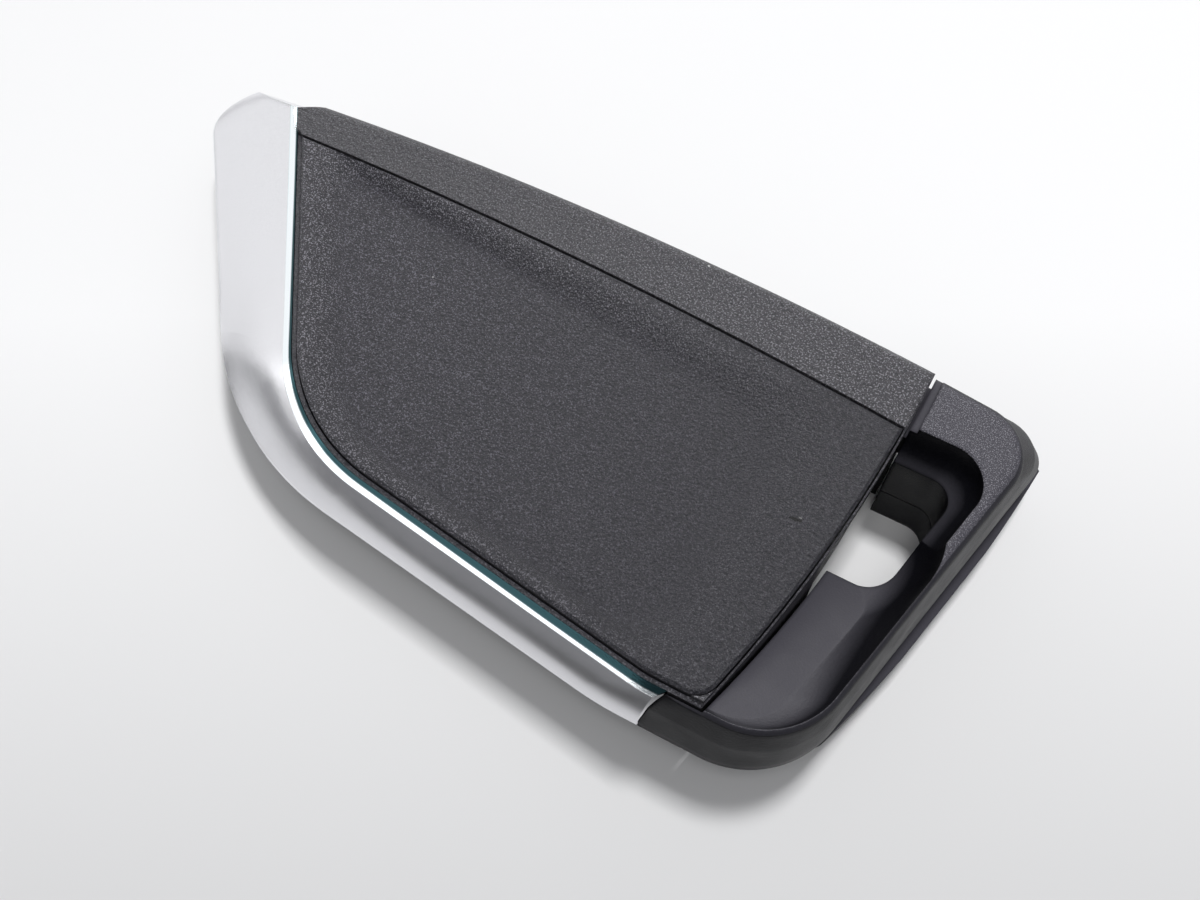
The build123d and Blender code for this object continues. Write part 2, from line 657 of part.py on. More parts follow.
def make_funnel():
    """Sloping sides round the far end of the ring hole, from the pad down to the hole."""
    mouth = [
        (0.0, PAD_EDGE_Y, 180.0),
        (loop_inner_x, 0.0, -90.0),
        (0.0, FUNNEL_NEAR_Y, 0.0),
        inward(head_crest_loop, FUNNEL_RIM_WIDTH),
    ]
    mouth_radii = [FUNNEL_MOUTH_RADIUS] + HOLE_RADII[1:]
    return loft([
        face_of(
            between(corners_of(hole_sides), corners_of(mouth), spread),
            mixed(HOLE_RADII, mouth_radii, spread),
            FUNNEL_Z + (crest_z - FUNNEL_Z) * rise,
        )
        for rise, spread in LOOP_HOLLOW
    ])


def make_ramp():
    """Scoop in the lower arm of the loop: a hollow that climbs away from the ring hole."""
    floor_sides = [
        (0.0, RAMP_START_Y - RAMP_START_DROP, 180.0),
        (loop_inner_x, 0.0, -90.0),
        inward(head_crest_foot, RIM_WIDTH + RAMP_WALL_NEAR),
        inward(loop_end, HOLE_SIDE_INSET),
    ]
    mouth_sides = [
        (0.0, RAMP_START_Y, 180.0),
        (loop_inner_x, 0.0, -90.0),
        inward(head_crest_foot, RIM_WIDTH),
        inward(head_crest_loop, RIM_WIDTH),
    ]
    floor_radii = [RAMP_FAR_RADIUS, HIDDEN_RADIUS, HIDDEN_RADIUS, RAMP_CORNER_RADIUS]
    mouth_radii = [RAMP_MOUTH_RADIUS, HIDDEN_RADIUS, HIDDEN_RADIUS, HEAD_HEEL_RADIUS - RIM_WIDTH]
    sections = []
    for rise, spread in LOOP_HOLLOW:
        tilt = math.atan(math.tan(math.radians(RAMP_ANGLE)) * (1 - rise))
        hinge = (0, HOLE_NEAR_Y, RAMP_Z + (crest_z - RAMP_Z) * rise)
        slope = Plane(origin=hinge, x_dir=(1, 0, 0), z_dir=(0, math.sin(tilt), math.cos(tilt)))
        outline = between(corners_of(floor_sides), corners_of(mouth_sides), spread)
        on_slope = [(x, (y - HOLE_NEAR_Y) / math.cos(tilt)) for x, y in outline]
        sections.append(slope * face_of(on_slope, mixed(floor_radii, mouth_radii, spread)))
    return loft(sections)


def pin_hole(gap, z0, z1):
    """Round hole or pin through the blade's root."""
    return upright(pin_x, BLADE_SIDE_Y - BLADE_ROOT_WIDTH / 2, PIN_RADIUS + gap, z0, z1)


def blade_boss(gap):
    """Boss of the loop that enters the case round the blade, made wider by gap."""
    side = BOSS_WALL_SIDE + gap
    return block(
        end_x - BOSS_DEPTH - gap, end_x + LOOP_GAP * 2,
        BLADE_SIDE_Y - BLADE_ROOT_WIDTH - BOSS_WALL - gap, BLADE_SIDE_Y + side,
        blade_z - BOSS_WALL - gap, blade_z + BLADE_THICKNESS + BOSS_WALL + gap,
    )


def make_key_head():
    """Ring loop that is also the grip of the emergency key."""
    blank = make_head_blank()
    seam_top = CAP_HEIGHT + SEAM_GROOVE
    low = layer(make_lower_blank([LIP_WIDTH] * 3, ridge_radii), seam_top, ridge_low)
    case_side = end_disc(END_LIP + LOOP_GAP)
    toe_room = case_side & slab(inside_crest(-SLIDE_GAP), 0, HEIGHT * 2)
    head = blank - toe_room - trim_side(TRIM_END_GAP)
    head -= layer(case_side, 0, ridge_low + TRIM_END_GAP)
    head += low - case_side
    step = layer(end_disc(END_LIP + LOOP_GAP + PAD_STEP_WIDTH), crest_z - PAD_STEP_DROP, HEIGHT)
    head -= step & block(0, LENGTH, HOLE_NEAR_Y, 0, 0, HEIGHT)
    head -= slab(ring_hole(0), 0, HEIGHT * 2)
    head -= make_funnel()
    head -= make_ramp()
    head += blade_boss(0)
    root = block(
        blade_shoulder_x, blade_root_x + SEAT_GAP, BLADE_SIDE_Y - BLADE_ROOT_WIDTH - SEAT_GAP,
        BLADE_SIDE_Y + SEAT_GAP, blade_z - SEAT_GAP, blade_z + BLADE_THICKNESS + SEAT_GAP,
    )
    return head - root - pin_hole(PIN_GAP, 0, blade_z + 2 * BLADE_THICKNESS)


def make_key_head_cap():
    """Front cap of the loop, with a lip that stands proud along the loop end."""
    loop_insets = [CAP_FACE_INSET, CAP_EDGE_INSET, -CAP_FLARE]
    shell = make_lower_blank(loop_insets, cap_radii, CAP_STRAIGHT_TURN)
    arc_x = LENGTH + CAP_ARC_REACH - CAP_ARC_RADIUS
    cap = layer(shell, 0, CAP_HEIGHT) & (Pos(arc_x, CAP_ARC_Y, 0) * Cylinder(CAP_ARC_RADIUS, FAR))
    tongue_radii = [radius - SEAM_DEPTH for radius in cap_radii]
    tongue = ridge_outline(FRONT_EDGE_INSET + SEAM_DEPTH, LIP_WIDTH + SEAM_DEPTH, tongue_radii)
    cap += slab(tongue, CAP_HEIGHT - SEAM_DEPTH, CAP_HEIGHT + SEAM_GROOVE)
    return cap - end_disc(END_LIP + LOOP_GAP) - slab(ring_hole(0), -HEIGHT, HEIGHT)


def pin_of_blade():
    """Pin that holds the blade in the loop."""
    return pin_hole(0, CAP_HEIGHT + SEAM_GROOVE, blade_z + 2 * BLADE_THICKNESS)


def make_key_blade():
    """Emergency key blade with milled tracks, a latch notch and a narrower root."""
    far_y = BLADE_SIDE_Y
    near_y = far_y - BLADE_WIDTH
    root_y = far_y - BLADE_ROOT_WIDTH
    shank = [
        (BLADE_TIP_X + BLADE_POINT, far_y),
        (BLADE_TIP_X, far_y - BLADE_POINT),
        (BLADE_TIP_X, near_y + BLADE_POINT),
        (BLADE_TIP_X + BLADE_POINT, near_y),
        (blade_shoulder_x, near_y),
        (blade_shoulder_x + BLADE_WIDTH - BLADE_ROOT_WIDTH, root_y),
        (blade_root_x, root_y),
        (blade_root_x, far_y),
    ]
    blade = slab(make_face(Polyline(*shank, close=True)), blade_z, blade_z + BLADE_THICKNESS)
    middle_y = (far_y + near_y) / 2
    track_end_x = end_x - BLADE_TRACK_FROM_END
    track = rounded(
        (BLADE_TIP_X + track_end_x) / 2 - BLADE_POINT, middle_y,
        track_end_x - BLADE_TIP_X + BLADE_POINT * 2, BLADE_TRACK_WIDTH, BLADE_TRACK_WIDTH / 2 - SEAT_GAP,
    )
    blade -= slab(track, blade_z - BLADE_THICKNESS, blade_z + BLADE_TRACK_DEPTH)
    blade -= slab(track, blade_z + BLADE_THICKNESS - BLADE_TRACK_DEPTH, blade_z + 2 * BLADE_THICKNESS)
    notch_half = TOOTH_LENGTH / 2 + LATCH_GAP
    tooth_far_y = latch_back_y + TOOTH_WIDTH
    blade -= block(
        latch_x - notch_half, latch_x + notch_half, latch_back_y - LATCH_GAP, tooth_far_y + LATCH_GAP,
        blade_z - BLADE_THICKNESS, blade_z + BLADE_NOTCH_DEPTH,
    )
    return blade - pin_hole(PIN_GAP, 0, HEIGHT)


def make_release_latch():
    """Sliding latch: thumb pad in the wall, plate behind it and a tooth under the blade."""
    top = latch_z + LATCH_HEIGHT
    half = LATCH_LENGTH / 2
    wide = half + LATCH_FLANGE
    plate_far_y = -CASE_WALL - LATCH_GAP
    pad = block(latch_x - half, latch_x + half, plate_far_y, -LATCH_GAP, latch_z, top)
    pad = fillet(pad.edges().filter_by(Axis.Z).group_by(Axis.Y)[-1], LATCH_GAP * 3)
    plate = block(latch_x - wide, latch_x + wide, latch_back_y, plate_far_y, latch_z, top)
    tooth = block(
        latch_x - TOOTH_LENGTH / 2, latch_x + TOOTH_LENGTH / 2, latch_back_y, latch_back_y + TOOTH_WIDTH,
        top, blade_z - TOOTH_GAP,
    )
    return pad + plate + tooth


def make_latch_spring():
    """Folded leaf spring between the latch and the far wall of its pocket."""
    step = SPRING_LENGTH / SPRING_FOLDS
    half = SPRING_WIDTH / 2 - SPRING_THICKNESS
    points = []
    for fold in range(SPRING_FOLDS + 1):
        side = half if fold % 2 else -half
        y = latch_back_y - SPRING_THICKNESS - fold * (step - SPRING_THICKNESS / 2)
        points.append((latch_x + side, y))
    strip = trace(Polyline(*points), SPRING_THICKNESS)
    middle = latch_z + LATCH_HEIGHT / 2
    return slab(strip, middle - SPRING_HEIGHT / 2, middle + SPRING_HEIGHT / 2)


def panel_plan(gap):
    """Plan of the front panel, with rounded ends."""
    depth = PANEL_INSET + gap
    corner_x = end_x - FRONT_WALL * 2 - gap
    sides = [
        inward(straight_edge, depth),
        inward(slanted_end, PANEL_SLANT_INSET + gap),
        inward(lower_edge, depth),
        (corner_x, HOLE_NEAR_Y, LOOP_ANGLE),
    ]
    radii = [PANEL_RADIUS, PANEL_RADIUS, PANEL_RADIUS * 2, PANEL_RADIUS]
    return face_of(corners_of(sides), [radius - gap for radius in radii])


def button_plan(x, grow):
    """Plan of one button, made wider all round by grow."""
    length = BUTTON_LENGTH + 2 * grow
    return rounded(x, button_y, length, button_width + 2 * grow, BUTTON_CORNER + grow)


def make_front_panel():
    """Glossy front panel with a window for each button."""
    panel = slab(panel_plan(SEAT_GAP), 0, PANEL_THICKNESS)
    for x in button_xs:
        panel -= slab(button_plan(x, SLIDE_GAP), -PANEL_THICKNESS, 2 * PANEL_THICKNESS)
    return panel


def make_front_case():
    """Front case: rim and floor round the panel, with a ledge inside for the board."""
    case = make_lower_blank([0] * 3, ridge_radii) & end_disc(END_LIP)
    case -= slab(panel_plan(0), -PANEL_THICKNESS, PANEL_THICKNESS)
    for x in button_xs:
        case -= slab(button_plan(x, FLANGE_WIDTH + SLIDE_GAP), 0, ridge_low)
    ledge = FRONT_WALL + BOARD_LEDGE
    case -= slab(case_plan(ledge, ledge, ledge), front_floor_top, HEIGHT)
    case -= end_recess(HEIGHT)
    return case - slab(case_plan(FRONT_WALL, FRONT_WALL, FRONT_WALL), BOARD_Z, HEIGHT)


def make_button(x):
    """Button: dished cap in the panel's window, a flange behind it and a stem to the switch."""
    cap = slab(button_plan(x, 0), BUTTON_RECESS, flange_z)
    cap = chamfer(cap.faces().sort_by(Axis.Z)[0].edges(), BUTTON_EDGE)
    dish = Pos(x, button_y, BUTTON_RECESS + DISH_DEPTH - DISH_RADIUS) * Rot(0, 90, 0)
    cap -= dish * Cylinder(DISH_RADIUS, BUTTON_LENGTH * 2)
    flange = slab(button_plan(x, FLANGE_WIDTH), flange_z, flange_z + FLANGE_THICKNESS)
    return cap + flange + upright(x, button_y, STEM_RADIUS, flange_z, stem_top)


def make_plunger(x):
    """Plunger of a switch, which the button's stem pushes."""
    return upright(x, button_y, PLUNGER_RADIUS, stem_top, stem_top + PLUNGER_LENGTH)


def make_switch(x):
    """Body of a push switch under the board, open towards the button."""
    low = BOARD_Z - SWITCH_HEIGHT
    case = block(
        x - SWITCH_LENGTH / 2, x + SWITCH_LENGTH / 2, button_y - SWITCH_WIDTH / 2,
        button_y + SWITCH_WIDTH / 2, low, BOARD_Z,
    )
    case = chamfer(case.edges().filter_by(Axis.Z), PLUNGER_ROOM * 3)
    return case - upright(x, button_y, PLUNGER_RADIUS + PLUNGER_GAP, 0, BOARD_Z - PLUNGER_ROOM)


def make_circuit_board():
    """Circuit board on the ledge of the front case."""
    depth = FRONT_WALL + BOARD_GAP
    return slab(case_plan(depth, depth, depth), BOARD_Z, board_top)


def on_board(x, y, length, width, height):
    """Block that stands on the board."""
    x0 = x - length / 2
    y0 = y - width / 2
    return block(x0, x0 + length, y0, y0 + width, board_top, board_top + height)


def make_chip(x, y, size):
    """Flat package on the board with its upper edges cut back."""
    chip = on_board(x, y, *size)
    return chamfer(chip.faces().sort_by(Axis.Z)[-1].edges(), CHIP_EDGE)


def make_crystal():
    """Metal can of the crystal."""
    length, width, height = CRYSTAL_SIZE
    plan = rounded(end_x - ELECTRONICS_FROM_END, CRYSTAL_Y, length, width, width / 4)
    can = slab(plan, board_top, board_top + height)
    return chamfer(can.faces().sort_by(Axis.Z)[-1].edges(), height / 6)


def make_winding_core(spot, size):
    """Ferrite core with a flange above and below the space for its winding."""
    length, width = size
    flange = core_height * CORE_FLANGE
    core = slab(rounded(*spot, length, width, width / 6), board_top, board_top + core_height)
    wide = rounded(*spot, 2 * length, 2 * width, width / 6)
    room = slab(wide, board_top + flange, board_top + core_height - flange)
    hub = slab(rounded(*spot, length / 2, width / 2, width / 6), 0, HEIGHT)
    return core - (room - hub)


def make_winding(spot, size):
    """Wire wound round the core, one closed ring."""
    length, width = size
    flange = core_height * CORE_FLANGE
    outer = rounded(*spot, length - SLIDE_GAP * 4, width - SLIDE_GAP * 4, width / 6)
    inner = rounded(*spot, length / 2, width / 2, width / 6)
    return slab(outer - inner, board_top + flange, board_top + core_height - flange)


def make_capacitors():
    """Two rows of chip capacitors, each a separate block."""
    row = range(CAPACITORS_IN_ROW)
    near_x = cell_x - CAPACITOR_FROM_CELL
    spots = [(near_x + CAPACITOR_PITCH * i, CAPACITOR_NEAR_Y) for i in row]
    spots += [(end_x - CAPACITOR_FROM_END, CAPACITOR_FAR_Y - CAPACITOR_PITCH * i) for i in row]
    return Compound(children=[on_board(x, y, *CAPACITOR_SIZE).solid() for x, y in spots])


def make_coin_cell():
    """Coin cell: a wide can below and a narrower cap above."""
    low = tray_top + CONTACT_THICKNESS
    high = low + CELL_THICKNESS
    cell = upright(cell_x, cell_y, CELL_RADIUS, low, high)
    cell = chamfer(cell.edges().filter_by(GeomType.CIRCLE), CONTACT_THICKNESS * 2)
    below = low - CELL_THICKNESS
    crimp = upright(cell_x, cell_y, CELL_RADIUS, below, low + CONTACT_THICKNESS)
    cap = upright(cell_x, cell_y, CELL_RADIUS - CELL_WALL, below, low + CONTACT_THICKNESS)
    return cell - (crimp - cap)


def make_plus_contact():
    """Side contact: a strip up from the board along the rim of the cell."""
    x = cell_x + CELL_RADIUS + SEAT_GAP
    half = CONTACT_WIDTH / 2
    strip = block(
        x, x + CONTACT_THICKNESS, cell_y - half, cell_y + half, board_top, tray_top + CELL_THICKNESS,
    )
    foot_pad = block(
        x, x + CONTACT_WIDTH / 2, cell_y - half, cell_y + half, board_top, board_top + CONTACT_THICKNESS,
    )
    return strip + foot_pad


def make_minus_contact():
    """Lower contact: a tongue under the cell with a leg down to the board."""
    x = cell_x - CELL_RADIUS / 2
    half = CONTACT_WIDTH / 2
    tongue = block(
        x - CONTACT_THICKNESS, cell_x + CELL_RADIUS / 2, cell_y - half, cell_y + half,
        tray_top, tray_top + CONTACT_THICKNESS,
    )
    leg = block(
        x - CONTACT_THICKNESS, x, cell_y - half, cell_y + half, board_top, tray_top + CONTACT_THICKNESS,
    )
    foot_pad = block(
        x - CONTACT_WIDTH / 2, x, cell_y - half, cell_y + half, board_top, board_top + CONTACT_THICKNESS,
    )
    return tongue + leg + foot_pad


electronics_x = end_x - ELECTRONICS_FROM_END
antenna_spot = (electronics_x, ANTENNA_UP - WIDTH)
nodes = {
    "rear_case": make_rear_case(),
    "battery_cover": make_battery_cover(),
    "cover_seal": make_cover_seal(),
    "side_trim": make_side_trim(),
    "front_case": make_front_case(),
    "front_panel": make_front_panel(),
    "key_head": make_key_head(),
    "key_head_cap": make_key_head_cap(),
    "key_blade": make_key_blade(),
    "blade_pin": pin_of_blade(),
    "release_latch": make_release_latch(),
    "latch_spring": make_latch_spring(),
    "circuit_board": make_circuit_board(),
    "processor_chip": make_chip(cell_x + PROCESSOR_FROM_CELL, PROCESSOR_Y, PROCESSOR_SIZE),
    "radio_chip": make_chip(electronics_x, RADIO_Y, RADIO_SIZE),
    "crystal": make_crystal(),
    "transponder_core": make_winding_core(TRANSPONDER_SPOT, TRANSPONDER_SIZE),
    "transponder_winding": make_winding(TRANSPONDER_SPOT, TRANSPONDER_SIZE),
    "antenna_core": make_winding_core(antenna_spot, ANTENNA_SIZE),
    "antenna_winding": make_winding(antenna_spot, ANTENNA_SIZE),
    "board_capacitors": make_capacitors(),
    "coin_cell": make_coin_cell(),
    "plus_contact": make_plus_contact(),
    "minus_contact": make_minus_contact(),
}
for button_name, button_x in zip(BUTTON_NAMES, button_xs):
    nodes[button_name + "_button"] = make_button(button_x)
    nodes[button_name + "_plunger"] = make_plunger(button_x)
    nodes[button_name + "_switch"] = make_switch(button_x)

for node_name, shape in nodes.items():
    export_step(PLACE * shape, "parts/" + node_name + ".step")
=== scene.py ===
import json
import math

import bpy
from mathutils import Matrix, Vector


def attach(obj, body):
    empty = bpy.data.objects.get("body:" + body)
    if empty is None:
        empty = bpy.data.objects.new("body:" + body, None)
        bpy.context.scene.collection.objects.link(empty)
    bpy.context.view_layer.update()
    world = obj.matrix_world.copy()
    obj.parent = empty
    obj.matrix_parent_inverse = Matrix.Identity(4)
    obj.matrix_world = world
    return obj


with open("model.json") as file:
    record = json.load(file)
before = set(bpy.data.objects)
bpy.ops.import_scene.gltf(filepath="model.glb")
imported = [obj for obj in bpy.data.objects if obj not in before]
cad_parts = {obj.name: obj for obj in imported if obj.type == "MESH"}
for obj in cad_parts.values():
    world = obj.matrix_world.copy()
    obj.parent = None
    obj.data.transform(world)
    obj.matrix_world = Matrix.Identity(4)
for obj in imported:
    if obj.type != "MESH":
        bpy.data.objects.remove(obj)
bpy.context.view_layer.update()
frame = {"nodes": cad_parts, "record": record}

MM = 0.001
BEVEL_SAMPLES = 8
# Places of the two inputs and of the output of a mix node, for each type of data.
MIX_SOCKETS = {"FLOAT": (2, 3, 0), "VECTOR": (4, 5, 1), "RGBA": (6, 7, 2)}
EVEN_STOPS = (0.3, 0.7)

# Moulded plastic. Stops are places on a noise from 0 to 1, ranges of X are in metres.
MOTTLE_STOPS = (0.35, 0.68)
# Painted light on the plastics: light specks put into the colour as painted glints, whose share changes
# over a range of X as a painted sheen.
PAINTED_GLINT_STOPS = (0.54, 0.66)
PAINTED_GLINT_PER_GRAIN = 0.45
PAINTED_SHEEN_X = (-0.02, 0.03)
# A light film comes in between these normal Z values on what faces up: dust and painted sheen.
DUST_AND_SHEEN_NORMAL_Z = (0.55, 0.95)
SPOT_CORE = 0.6
PATCH_PER_GRAIN = 14
PATCH_ROUGH = 0.04

# Brushed metal.
SCRATCH_WIDTH = 0.25 * MM
SCRATCH_DEPTH = 0.004 * MM
SCRATCH_SHADE = 0.86
SCRATCH_ROUGH = (-0.05, 0.06)

# Silver trim: polished from POLISH_Z up to its crest, painted satin below.
CREST_Z = 14.5 * MM
POLISH_Z = 13.98 * MM
POLISH_BLEND = 0.06 * MM
POLISH_ROUGH = 0.08
# Colour bands of the polished bevel, pale cyan, white, white and dark teal, shifting along X: a painted
# reflection.
PAINTED_REFLECTION_STOPS = (0.0, 0.14, 0.76, 0.88)
PAINTED_REFLECTION_TONES = ((0.62, 0.86, 0.88), (0.93, 0.98, 1.0), (0.93, 0.98, 1.0), (0.03, 0.07, 0.08))
PAINTED_REFLECTION_SHIFT = 0.45
PAINTED_REFLECTION_SHIFT_X = (-0.028, 0.012)
SATIN_TONES = ((0.76, 0.76, 0.785), (0.83, 0.83, 0.855))
SATIN_ROUGH = (0.21, 0.25)
PAINT_GRAIN = 0.12 * MM
PAINT_DEPTH = 0.003 * MM
PAINT_PATCH = 3 * MM
# Swell of its side, over the way d from POLISH_Z (0) down to SWELL_Z (1), times SWELL_DEPTH. It is
# SLANTED_CURVE * d**2, and from UPRIGHT_SIDE_X on UPRIGHT_SLOPE * d + UPRIGHT_CURVE * d**3.
SWELL_Z = 6.0 * MM
SWELL_DEPTH = 1.0 * MM
UPRIGHT_SLOPE = 4.4
UPRIGHT_CURVE = -1.0
SLANTED_CURVE = 2.4
UPRIGHT_SIDE_X = (-0.027, 0.001)
SOFT_END_X = (-0.028, -0.033)
SOFT_END_RADIUS = 1.2 * MM


def material(name):
    """New node material, its nodes and links, its shader, and the place of a point in metres."""
    mat = bpy.data.materials.new(name)
    mat.use_nodes = True
    nodes = mat.node_tree.nodes
    shader = nodes["Principled BSDF"]
    where = nodes.new("ShaderNodeTexCoord")
    return mat, nodes, mat.node_tree.links, shader, where.outputs["Object"]


def feed(links, socket, value):
    """Links the output of another node to a socket, or sets a plain value on it."""
    if isinstance(value, bpy.types.NodeSocket):
        links.new(value, socket)
    else:
        socket.default_value = value


def noise(nodes, links, place, size, detail=2.0, rough=0.5, stretch=None):
    """Noise whose features are about size metres across."""
    tex = nodes.new("ShaderNodeTexNoise")
    tex.inputs["Scale"].default_value = 1 / size
    tex.inputs["Detail"].default_value = detail
    tex.inputs["Roughness"].default_value = rough
    if stretch:
        mapping = nodes.new("ShaderNodeMapping")
        mapping.inputs["Scale"].default_value = stretch
        links.new(place, mapping.inputs["Vector"])
        place = mapping.outputs["Vector"]
    links.new(place, tex.inputs["Vector"])
    return tex.outputs["Fac"]


def ramp(nodes, links, value, stops, tones):
    """Colour ramp over a value; each tone is a grey or a colour."""
    node = nodes.new("ShaderNodeValToRGB")
    elements = node.color_ramp.elements
    while len(elements) < len(stops):
        elements.new(0.5)
    for element, stop, tone in zip(elements, stops, tones):
        if isinstance(tone, float):
            tone = (tone, tone, tone)
        element.position = stop
        element.color = (*tone, 1.0)
    links.new(value, node.inputs["Fac"])
    return node.outputs["Color"]


def spread(nodes, links, value, limits, top=1.0, smooth=False):
    """Runs from 0 at the first limit of a value to top at the second, and stays level beyond them."""
    node = nodes.new("ShaderNodeMapRange")
    if smooth:
        node.interpolation_type = "SMOOTHSTEP"
    node.inputs["From Min"].default_value, node.inputs["From Max"].default_value = limits
    node.inputs["To Max"].default_value = top
    links.new(value, node.inputs["Value"])
    return node.outputs["Result"]


def axes(nodes, links, vector):
    """Outputs X, Y and Z of a vector."""
    node = nodes.new("ShaderNodeSeparateXYZ")
    links.new(vector, node.inputs["Vector"])
    return node.outputs


def maths(nodes, links, kind, *values):
    """Result of one kind of operation on outputs and plain numbers."""
    node = nodes.new("ShaderNodeMath")
    node.operation = kind
    for socket, value in zip(node.inputs, values):
        feed(links, socket, value)
    return node.outputs["Value"]


def mix(nodes, links, data, share, first, second, blend="MIX"):
    """First value turning into, or blended with, the second by a share; data is a key of MIX_SOCKETS."""
    node = nodes.new("ShaderNodeMix")
    node.data_type = data
    node.blend_type = blend
    first_input, second_input, result = MIX_SOCKETS[data]
    feed(links, node.inputs["Factor"], share)
    feed(links, node.inputs[first_input], first)
    feed(links, node.inputs[second_input], second)
    return node.outputs[result]


def soft_normal(nodes, radius):
    """Normal of a surface whose edges look rounded by a radius in metres."""
    node = nodes.new("ShaderNodeBevel")
    node.samples = BEVEL_SAMPLES
    node.inputs["Radius"].default_value = radius
    return node.outputs["Normal"]


def bump(nodes, links, height, depth, below=None):
    """Normal with a bump of depth metres, on top of another normal if given."""
    node = nodes.new("ShaderNodeBump")
    node.inputs["Distance"].default_value = depth
    node.inputs["Strength"].default_value = 1.0
    links.new(height, node.inputs["Height"])
    if below:
        links.new(below, node.inputs["Normal"])
    return node.outputs["Normal"]


def painted_glints_and_sheen(nodes, links, place, colour, grain, heights, tints, shares):
    """Colour with light specks as painted glints in two tints between two heights, lighter higher up as
    painted sheen; their share runs from the left to the right, a painted sheen across X.
    """
    at = axes(nodes, links, place)
    height = spread(nodes, links, at["Z"], heights)
    tint = ramp(nodes, links, height, (0.0, 1.0), tints)
    speckle = noise(nodes, links, place, grain * PAINTED_GLINT_PER_GRAIN, detail=1.0)
    painted_glint = ramp(nodes, links, speckle, PAINTED_GLINT_STOPS, (0.0, 1.0))
    across = spread(nodes, links, at["X"], PAINTED_SHEEN_X)
    share = ramp(nodes, links, across, (0.0, 1.0), shares)
    tinted = mix(nodes, links, "RGBA", 1.0, painted_glint, tint, "MULTIPLY")
    scaled = mix(nodes, links, "RGBA", 1.0, tinted, share, "MULTIPLY")
    return mix(nodes, links, "RGBA", 1.0, colour, scaled, "ADD")


def dust_and_painted_sheen(nodes, links, colour, dust_and_sheen):
    """Colour with a light film on what faces up, partly dust and partly painted sheen."""
    surface = nodes.new("ShaderNodeNewGeometry")
    up = axes(nodes, links, surface.outputs["Normal"])["Z"]
    film = ramp(nodes, links, spread(nodes, links, up, DUST_AND_SHEEN_NORMAL_Z), (0.0, 1.0), (0.0, dust_and_sheen))
    return mix(nodes, links, "RGBA", 1.0, colour, film, "ADD")


def spotted(nodes, links, place, colour, spots):
    """Colour with grey spots, each of x, y and radius in mm and a tone, seen in plan."""
    flat = nodes.new("ShaderNodeVectorMath")
    flat.operation = "MULTIPLY"
    flat.inputs[1].default_value = (1.0, 1.0, 0.0)
    links.new(place, flat.inputs[0])
    for x, y, radius, tone in spots:
        away = nodes.new("ShaderNodeVectorMath")
        away.operation = "DISTANCE"
        away.inputs[1].default_value = (x * MM, y * MM, 0.0)
        links.new(flat.outputs["Vector"], away.inputs[0])
        outside = spread(nodes, links, away.outputs["Value"], (radius * SPOT_CORE * MM, radius * MM))
        colour = mix(nodes, links, "RGBA", outside, (tone, tone, tone, 1.0), colour)
    return colour


def moulded(name, dark, light, rough, grain, depth,
            level=0.5, round_off=0.0, painted_glints=None, dust_and_sheen=None, spots=()):
    """Moulded plastic: mottled colour, uneven gloss and a fine bump; grain, depth and round_off in mm."""
    mat, nodes, links, shader, place = material(name)
    grain *= MM
    fine = noise(nodes, links, place, grain, detail=4.0, rough=0.65)
    colour = ramp(nodes, links, fine, MOTTLE_STOPS, (dark, light))
    # Painted glints and sheen: light specks in the colour, lighter higher up and changing across X.
    if painted_glints:
        colour = painted_glints_and_sheen(nodes, links, place, colour, grain, **painted_glints)
    # Light film on what faces up: dust and painted sheen.
    if dust_and_sheen:
        colour = dust_and_painted_sheen(nodes, links, colour, dust_and_sheen)
    if spots:
        colour = spotted(nodes, links, place, colour, spots)
    links.new(colour, shader.inputs["Base Color"])
    broad = noise(nodes, links, place, grain * PATCH_PER_GRAIN)
    gloss = ramp(nodes, links, broad, EVEN_STOPS, (rough - PATCH_ROUGH, rough + PATCH_ROUGH))
    links.new(gloss, shader.inputs["Roughness"])
    below = soft_normal(nodes, round_off * MM) if round_off else None
    links.new(bump(nodes, links, fine, depth * MM, below), shader.inputs["Normal"])
    shader.inputs["Specular IOR Level"].default_value = level
    return mat


def brushed(name, colour, rough, along):
    """Metal with fine scratches along one direction."""
    mat, nodes, links, shader, place = material(name)
    shader.inputs["Metallic"].default_value = 1.0
    lines = noise(nodes, links, place, SCRATCH_WIDTH, detail=4.0, rough=0.6, stretch=along)
    dark = tuple(share * SCRATCH_SHADE for share in colour)
    gloss = [rough + change for change in SCRATCH_ROUGH]
    links.new(ramp(nodes, links, lines, EVEN_STOPS, (dark, colour)), shader.inputs["Base Color"])
    links.new(ramp(nodes, links, lines, EVEN_STOPS, gloss), shader.inputs["Roughness"])
    links.new(bump(nodes, links, lines, SCRATCH_DEPTH), shader.inputs["Normal"])
    return mat


def trim_swell(nodes, links, at):
    """Height that makes the trim look rounder, by one curve on its upright and one on its slanted side."""
    down = spread(nodes, links, at["Z"], (POLISH_Z, SWELL_Z))
    square = maths(nodes, links, "MULTIPLY", down, down)
    slope = maths(nodes, links, "MULTIPLY_ADD", square, UPRIGHT_CURVE, UPRIGHT_SLOPE)
    upright = maths(nodes, links, "MULTIPLY", slope, down)
    slanted = maths(nodes, links, "MULTIPLY", square, SLANTED_CURVE)
    side = spread(nodes, links, at["X"], UPRIGHT_SIDE_X, smooth=True)
    return mix(nodes, links, "FLOAT", side, slanted, upright)


